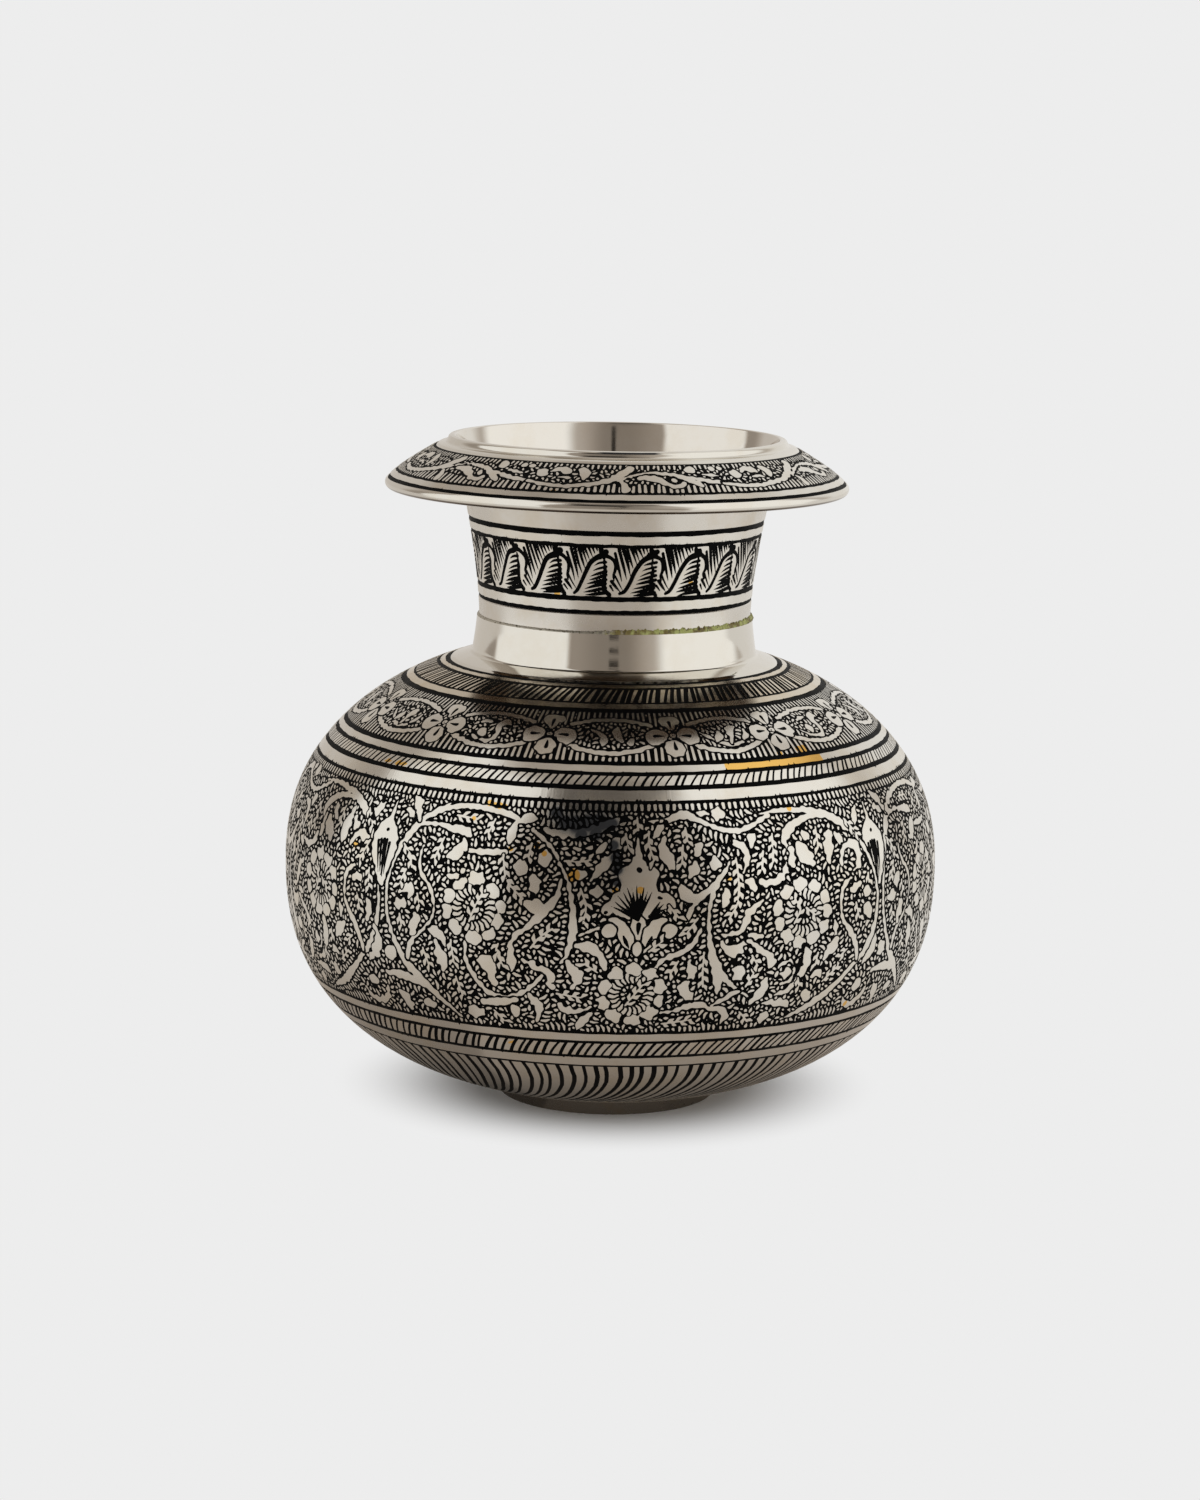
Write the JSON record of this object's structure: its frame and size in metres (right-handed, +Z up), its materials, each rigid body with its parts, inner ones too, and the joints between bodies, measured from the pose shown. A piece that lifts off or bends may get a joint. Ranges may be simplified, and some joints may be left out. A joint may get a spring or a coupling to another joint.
{
  "type": "lota water pot",
  "caption": "Round-bellied lota water pot with an engraved body, a flared neck, a domed rim and a low foot ring.",
  "frame": {"origin": "centre of the foot ring's underside, on the ground under the axis", "axes": "+Z up along the axis of the pot; the pot is turned about it, and -Y faces the viewer of the picture"},
  "size_m": [0.11, 0.11, 0.1119],
  "materials": {
    "foot_metal": "satin white-metal plate over brass",
    "bowl_metal": "polished white-metal plate over brass, engraved and filled with black lac",
    "shoulder_metal": "polished white-metal plate over brass, engraved and filled with black lac",
    "neck_metal": "polished white-metal plate over brass, engraved and filled with black lac",
    "rim_metal": "polished white-metal plate over brass, engraved and filled with black lac",
    "solder": "dull soft solder with green tarnish"
  },
  "bodies": {
    "root": {"foot_ring": "foot_metal", "lower_bowl": "bowl_metal", "upper_shoulder": "shoulder_metal", "neck_solder": "solder", "neck_tube": "neck_metal", "rim_flange": "rim_metal", "rim_solder": "solder"}
  },
  "joints": []
}
